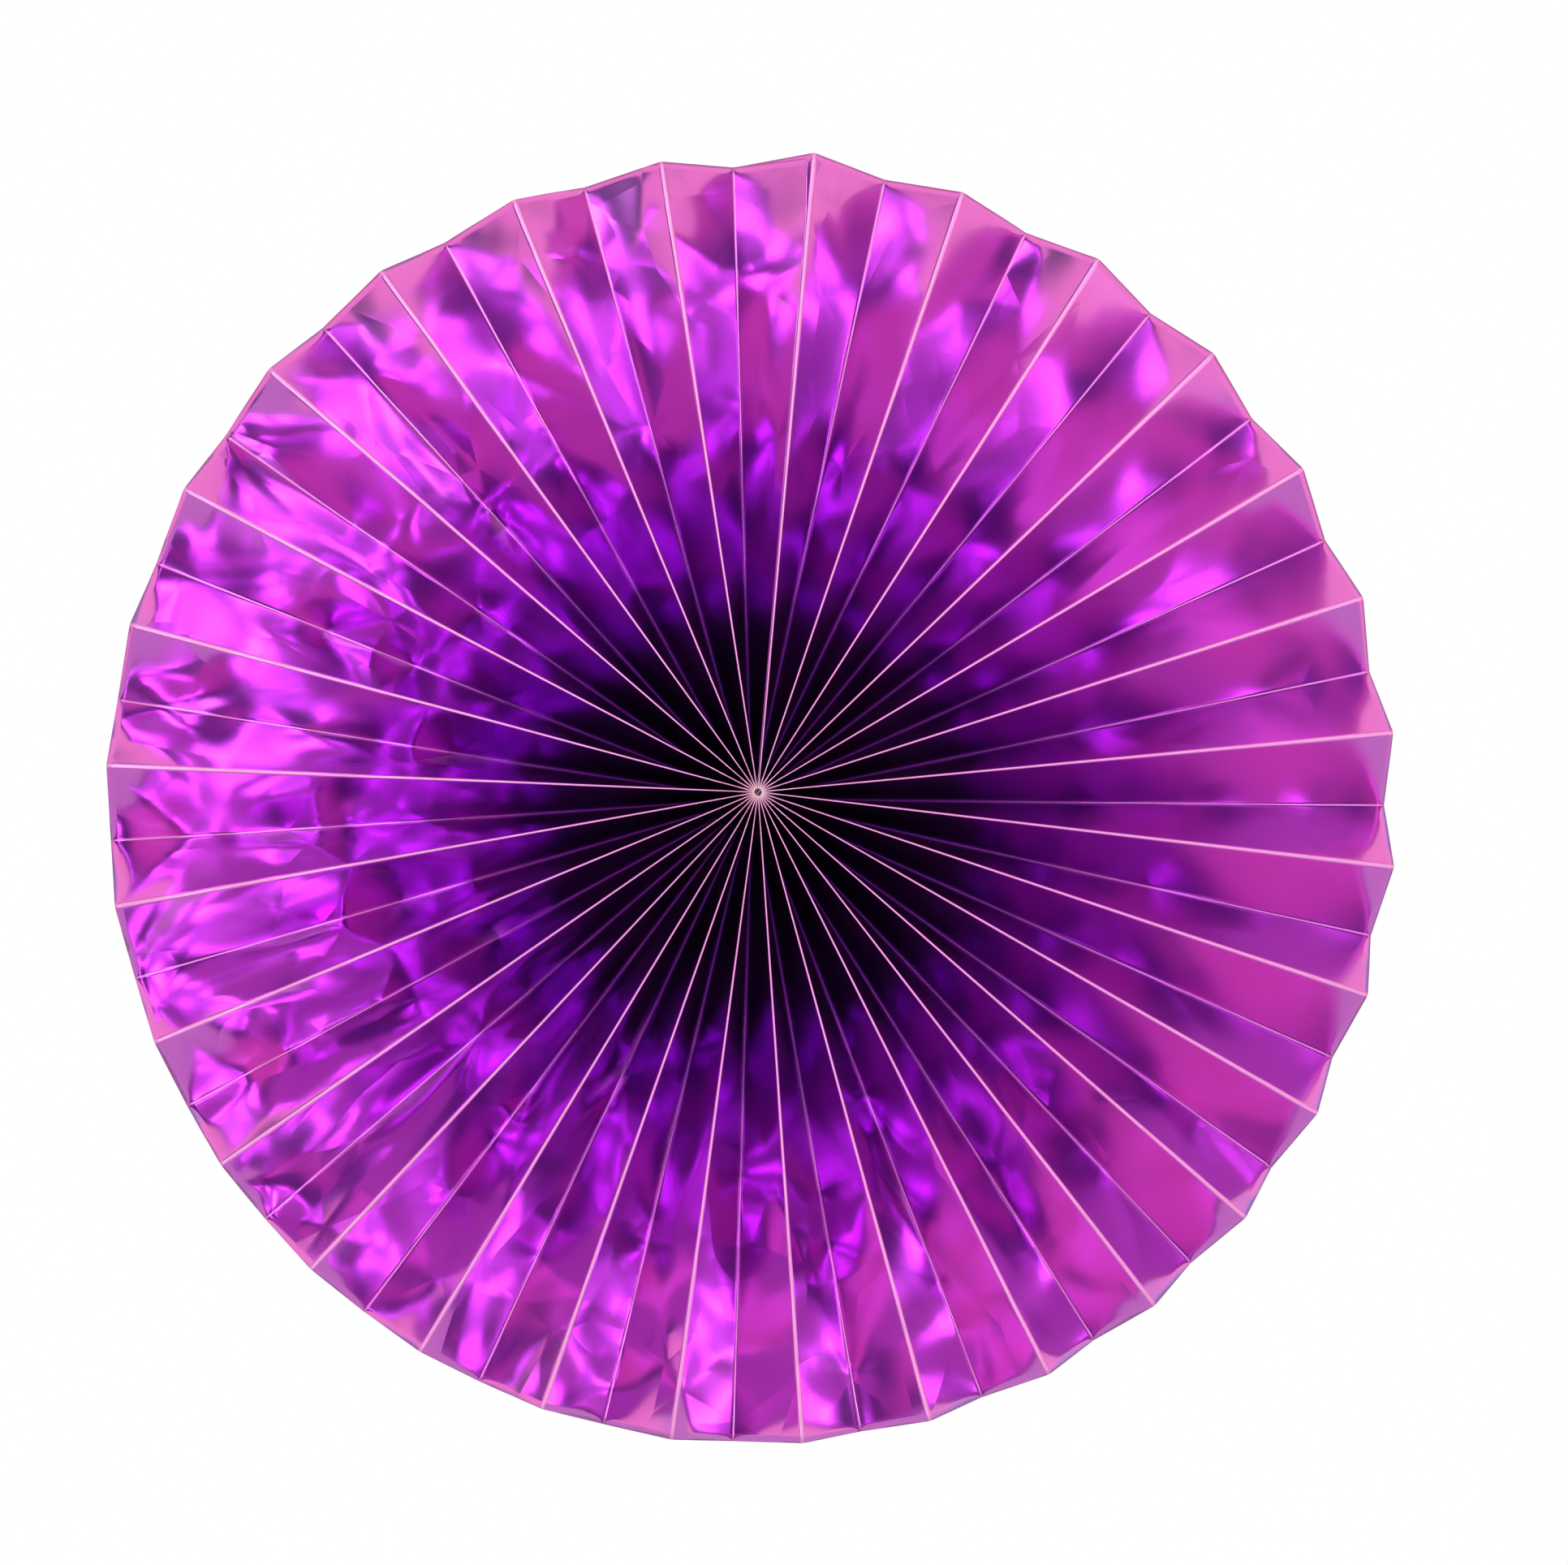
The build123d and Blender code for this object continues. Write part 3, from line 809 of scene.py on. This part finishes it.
foilMaterial = metallisedFoil()
foilStrip = makeStrip(foilMaterial, whitePaper())
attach(foilStrip, "root")
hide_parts("pleated_strip")
print("foil strip:", len(foilStrip.data.polygons), "faces")

tapeFilm = makeTape(clearTape())
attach(tapeFilm, "root")
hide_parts("seam_tape")

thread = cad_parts["tie_thread"].data
thread.materials.clear()
thread.materials.append(cottonThread())
print("tape and thread finished")

# Studio

studio = dict(
    floorZ=-0.5,            # metres, as are the floor's other lengths
    floorRadius=1.1,
    floorSides=128,
    floorFade=0.45,         # from here outwards the camera sees the floor melt into the white background
    floorWhite=1.045,       # and from here it sees white alone
    floorColour="#DFE8EE",
    floorRoughness=0.6,
    roomColour="#E6F0FF",
    roomLevel=0.88,
    roomStart=0.3,          # along Y, where the room behind the rosette takes over from the ring
    roomFull=0.6,
    sideColour="#FFE0D0",   # a warm ring that the outer corners of the leaves mirror
    sideLevel=1.3,
    frontColour="#CCCCFF",  # the dark room behind the camera
    frontLevel=0.22,
    frontStart=-0.2,
    frontFull=-0.4,
)

# Soft panels in front of the rosette: where each stands, its full and its farthest reach in degrees,
# its colour and its level
panels = (
    dict(place=(0.1, -0.6, 0.75), inner=4, outer=40, colour="#FFF0DC", level=1.0),
    dict(place=(0.62, -0.75, 0.3), inner=4, outer=40, colour="#FFE8C8", level=1.3),
    dict(place=(0.7, -0.6, -0.45), inner=4, outer=42, colour="#FFEEDC", level=2.0),
    dict(place=(-0.5, -0.72, 0.45), inner=3, outer=26, colour="#FFF8F8", level=0.7),
    dict(place=(-0.25, -0.8, -0.55), inner=2, outer=27, colour="#FFF8F4", level=2.2),
    dict(place=(-0.55, -0.8, -0.1), inner=2, outer=27, colour="#FCFAFF", level=1.7),
    dict(place=(-0.3, -0.95, 0.2), inner=1, outer=8, colour="#FFFFFF", level=10.0),
    dict(place=(-0.5, -0.85, -0.2), inner=1, outer=8, colour="#FFFFFF", level=14.0),
    dict(place=(-0.15, -0.95, -0.4), inner=1, outer=8, colour="#FFFFFF", level=14.0),
    dict(place=(-0.05, -0.9, 0.45), inner=1, outer=7, colour="#FFFFFF", level=11.0),
)


def makeFloor():
    bpy.ops.mesh.primitive_circle_add(vertices=studio["floorSides"], radius=studio["floorRadius"],
                                      fill_type="NGON", location=(0, 0, studio["floorZ"]))
    floor = bpy.context.object
    floor.name = "floor"

    # Pale matt floor that melts into white for the camera
    material, tree = newMaterial("paleFloor")
    place = add(tree, "ShaderNodeTexCoord", out=3)
    reach = add(tree, vectorNode, (place,), out=1, operation="LENGTH")
    fade = add(tree, rangeNode, (reach, studio["floorFade"], studio["floorWhite"], 0.0, 1.0),
               interpolation_type="SMOOTHSTEP")
    seen = add(tree, "ShaderNodeLightPath").node.outputs["Is Camera Ray"]
    share = add(tree, mathNode, (fade, seen), operation="MULTIPLY")
    diffuse = add(tree, "ShaderNodeBsdfPrincipled", {
        "Base Color": linear(studio["floorColour"]), "Roughness": studio["floorRoughness"],
    })
    white = add(tree, "ShaderNodeEmission", {"Color": (1, 1, 1, 1), "Strength": 1.0})
    shader = add(tree, "ShaderNodeMixShader", (share, diffuse, white))
    add(tree, "ShaderNodeOutputMaterial", {"Surface": shader})
    floor.data.materials.append(material)


def glow(hexColour, level):
    return [part * level for part in linear(hexColour)[:3]] + [1.0]


def makeWorld():
    world = bpy.data.worlds.new("studio")
    bpy.context.scene.world = world
    world.use_nodes = True
    tree = world.node_tree
    tree.nodes.clear()
    direction = add(tree, "ShaderNodeTexCoord")
    towardsBack = add(tree, "ShaderNodeSeparateXYZ", (direction,), out=1)

    # The panels stand one over the other in the dark room behind the camera
    front = glow(studio["frontColour"], studio["frontLevel"])
    for panel in panels:
        facing = Vector(panel["place"]).normalized()
        near = add(tree, vectorNode, (direction, facing), out=1, operation="DOT_PRODUCT")
        edge = cos(radians(panel["outer"]))
        full = cos(radians(panel["inner"]))
        share = add(tree, rangeNode, (near, edge, full, 0.0, 1.0), interpolation_type="SMOOTHSTEP")
        lit = glow(panel["colour"], panel["level"])
        front = add(tree, mixNode, {0: share, 6: front, 7: lit}, **colourMix)

    # From front to back: that room, the ring at the sides and the room behind the rosette
    side = glow(studio["sideColour"], studio["sideLevel"])
    room = glow(studio["roomColour"], studio["roomLevel"])
    share = add(tree, rangeNode, (towardsBack, studio["roomStart"], studio["roomFull"], 0.0, 1.0),
                interpolation_type="SMOOTHSTEP")
    light = add(tree, mixNode, {0: share, 6: side, 7: room}, **colourMix)
    share = add(tree, rangeNode, (towardsBack, studio["frontStart"], studio["frontFull"], 0.0, 1.0),
                interpolation_type="SMOOTHSTEP")
    light = add(tree, mixNode, {0: share, 6: light, 7: front}, **colourMix)
    seen = add(tree, "ShaderNodeLightPath").node.outputs["Is Camera Ray"]
    light = add(tree, mixNode, {0: seen, 6: light, 7: (1, 1, 1, 1)}, **colourMix)
    background = add(tree, "ShaderNodeBackground", (light, 1.0))
    add(tree, "ShaderNodeOutputWorld", {"Surface": background})


cameraView = dict(
    lens=114.84,            # millimetres, as is the sensor
    sensor=36,
    place=(-0.10217, -1.573, -0.11992),     # metres, and so is the aim
    aimX=0.00912,
    aimZ=0.00425,
)


def makeCamera():
    camera = bpy.data.cameras.new("camera")
    camera.lens = cameraView["lens"]
    camera.sensor_width = cameraView["sensor"]
    view = bpy.data.objects.new("camera", camera)
    bpy.context.collection.objects.link(view)
    view.location = cameraView["place"]
    aim = Vector((cameraView["aimX"], middleY * mm, cameraView["aimZ"]))
    view.rotation_euler = (aim - view.location).to_track_quat("-Z", "Y").to_euler()
    bpy.context.scene.camera = view


makeFloor()
makeWorld()
makeCamera()
bpy.context.scene.view_settings.view_transform = "Standard"
print("studio ready")
